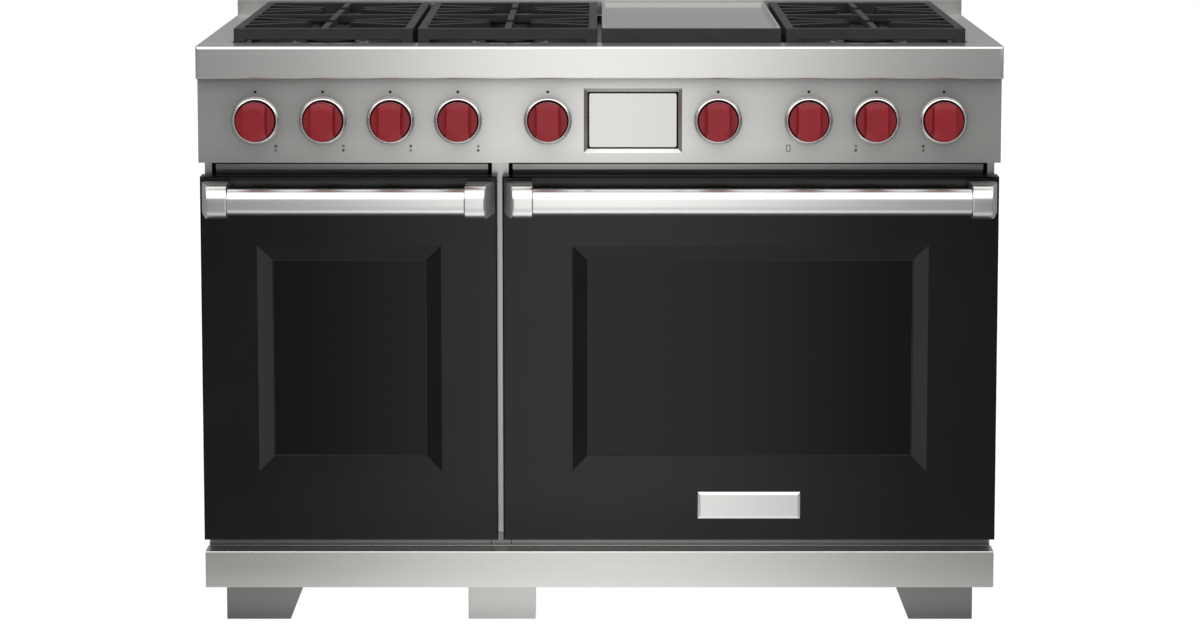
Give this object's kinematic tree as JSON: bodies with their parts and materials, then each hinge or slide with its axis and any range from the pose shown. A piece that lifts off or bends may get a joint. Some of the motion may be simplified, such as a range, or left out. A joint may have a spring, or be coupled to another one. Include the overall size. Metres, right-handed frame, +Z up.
{
  "type": "freestanding gas range",
  "caption": "Wide freestanding range with a small and a large oven, gas burners under cast-iron grates, a griddle, red control knobs and tubular door handles.",
  "frame": {"origin": "centre of the bounding box's base, on the floor between the legs", "axes": "+X to the right seen from the front, -Y towards the front (the doors), +Z up"},
  "size_m": [1.216, 0.7864, 0.927],
  "materials": {
    "steel": "horizontally brushed stainless steel",
    "handle_steel": "fine satin stainless steel",
    "black_enamel": "gloss black enamel",
    "oven_enamel": "dark porcelain enamel",
    "dark_glass": "dark tinted glass",
    "grate_iron": "matt black porcelain-coated cast iron",
    "cap_enamel": "matt black enamel",
    "griddle_steel": "ground stainless steel",
    "red_knob": "satin deep red",
    "seal_rubber": "matt black",
    "rack_wire": "bright nickel-plated wire",
    "zinc_steel": "dull galvanised sheet",
    "aluminium": "cast aluminium"
  },
  "bodies": {
    "range_body": {"front_frame": "steel", "left_side_panel": "steel", "right_side_panel": "steel", "back_panel": "zinc_steel", "base_pan": "zinc_steel", "base_trim": "steel", "front_left_leg": "steel", "front_center_leg": "steel", "front_right_leg": "steel", "rear_left_leg": "steel", "rear_right_leg": "steel", "bullnose": "steel", "island_trim": "steel", "cooktop_pan": "steel", "burner_cap_front_left": "cap_enamel", "burner_cap_rear_left": "cap_enamel", "burner_cap_front_middle": "cap_enamel", "burner_cap_rear_middle": "cap_enamel", "burner_cap_front_right": "cap_enamel", "burner_cap_rear_right": "cap_enamel", "griddle_plate": "griddle_steel", "control_panel": "steel", "gas_manifold": "aluminium", "left_oven_cavity": "oven_enamel", "right_oven_cavity": "oven_enamel", "left_door_seal": "seal_rubber", "right_door_seal": "seal_rubber", "left_door_hinge_left": "zinc_steel", "left_door_hinge_right": "zinc_steel", "right_door_hinge_left": "zinc_steel", "right_door_hinge_right": "zinc_steel"},
    "door_left": {"left_door_panel": "black_enamel", "left_window_glass": "dark_glass", "left_door_inner_panel": "oven_enamel", "left_handle_bar": "handle_steel", "left_handle_bracket_left": "handle_steel", "left_handle_bracket_right": "handle_steel"},
    "door_right": {"right_door_panel": "black_enamel", "right_window_glass": "dark_glass", "right_door_inner_panel": "oven_enamel", "right_handle_bar": "handle_steel", "right_handle_bracket_left": "handle_steel", "right_handle_bracket_right": "handle_steel"},
    "rack_left": {"left_oven_rack": "rack_wire"},
    "rack_right": {"right_oven_rack": "rack_wire"},
    "display": {"display_panel": "steel", "display_glass": "dark_glass"},
    "drip_tray": {"griddle_drip_tray": "cap_enamel"},
    "grate_left": {"grate_left": "grate_iron"},
    "grate_middle": {"grate_middle": "grate_iron"},
    "grate_right": {"grate_right": "grate_iron"},
    "knob_front_left": {"knob_front_left": "red_knob"},
    "knob_rear_left": {"knob_rear_left": "red_knob"},
    "knob_front_middle": {"knob_front_middle": "red_knob"},
    "knob_rear_middle": {"knob_rear_middle": "red_knob"},
    "knob_left_oven": {"knob_left_oven": "red_knob"},
    "knob_right_oven": {"knob_right_oven": "red_knob"},
    "knob_griddle": {"knob_griddle": "red_knob"},
    "knob_rear_right": {"knob_rear_right": "red_knob"},
    "knob_front_right": {"knob_front_right": "red_knob"}
  },
  "joints": [
    {"name": "display_flip", "type": "hinge", "parent": "range_body", "child": "display", "pos_m": [0.05046, -0.32575, 0.7885], "axis": [1, 0, 0], "range_deg": [0, 180]},
    {"name": "door_left_open", "type": "hinge", "parent": "range_body", "child": "door_left", "pos_m": [-0.38201, -0.28475, 0.151], "axis": [1, 0, 0], "range_deg": [0, 90]},
    {"name": "door_right_open", "type": "hinge", "parent": "range_body", "child": "door_right", "pos_m": [0.22999, -0.28475, 0.151], "axis": [1, 0, 0], "range_deg": [0, 90]},
    {"name": "drip_tray_lift", "type": "slide", "parent": "range_body", "child": "drip_tray", "axis": [0, 0, 1], "range_m": [0, 0.1]},
    {"name": "grate_left_lift", "type": "slide", "parent": "range_body", "child": "grate_left", "axis": [0, 0, 1], "range_m": [0, 0.1]},
    {"name": "grate_middle_lift", "type": "slide", "parent": "range_body", "child": "grate_middle", "axis": [0, 0, 1], "range_m": [0, 0.1]},
    {"name": "grate_right_lift", "type": "slide", "parent": "range_body", "child": "grate_right", "axis": [0, 0, 1], "range_m": [0, 0.1]},
    {"name": "knob_front_left_turn", "type": "hinge", "parent": "range_body", "child": "knob_front_left", "pos_m": [-0.51996, -0.33775, 0.7885], "axis": [0, -1, 0], "range_deg": [0, 270]},
    {"name": "knob_rear_left_turn", "type": "hinge", "parent": "range_body", "child": "knob_rear_left", "pos_m": [-0.41794, -0.33775, 0.7885], "axis": [0, -1, 0], "range_deg": [0, 270]},
    {"name": "knob_front_middle_turn", "type": "hinge", "parent": "range_body", "child": "knob_front_middle", "pos_m": [-0.31592, -0.33775, 0.7885], "axis": [0, -1, 0], "range_deg": [0, 270]},
    {"name": "knob_rear_middle_turn", "type": "hinge", "parent": "range_body", "child": "knob_rear_middle", "pos_m": [-0.21389, -0.33775, 0.7885], "axis": [0, -1, 0], "range_deg": [0, 270]},
    {"name": "knob_left_oven_turn", "type": "hinge", "parent": "range_body", "child": "knob_left_oven", "pos_m": [-0.07819, -0.33775, 0.7885], "axis": [0, -1, 0], "range_deg": [0, 300]},
    {"name": "knob_right_oven_turn", "type": "hinge", "parent": "range_body", "child": "knob_right_oven", "pos_m": [0.17912, -0.33775, 0.7885], "axis": [0, -1, 0], "range_deg": [0, 300]},
    {"name": "knob_griddle_turn", "type": "hinge", "parent": "range_body", "child": "knob_griddle", "pos_m": [0.31592, -0.33775, 0.7885], "axis": [0, -1, 0], "range_deg": [0, 270]},
    {"name": "knob_rear_right_turn", "type": "hinge", "parent": "range_body", "child": "knob_rear_right", "pos_m": [0.41794, -0.33775, 0.7885], "axis": [0, -1, 0], "range_deg": [0, 270]},
    {"name": "knob_front_right_turn", "type": "hinge", "parent": "range_body", "child": "knob_front_right", "pos_m": [0.51996, -0.33775, 0.7885], "axis": [0, -1, 0], "range_deg": [0, 270]},
    {"name": "rack_left_slide", "type": "slide", "parent": "range_body", "child": "rack_left", "axis": [0, -1, 0], "range_m": [0, 0.3]},
    {"name": "rack_right_slide", "type": "slide", "parent": "range_body", "child": "rack_right", "axis": [0, -1, 0], "range_m": [0, 0.3]}
  ],
  "couplings": [
    {"joint": "rack_left_slide", "follows": "door_left_open", "m_per_rad": 0.18},
    {"joint": "rack_right_slide", "follows": "door_right_open", "m_per_rad": 0.18}
  ]
}
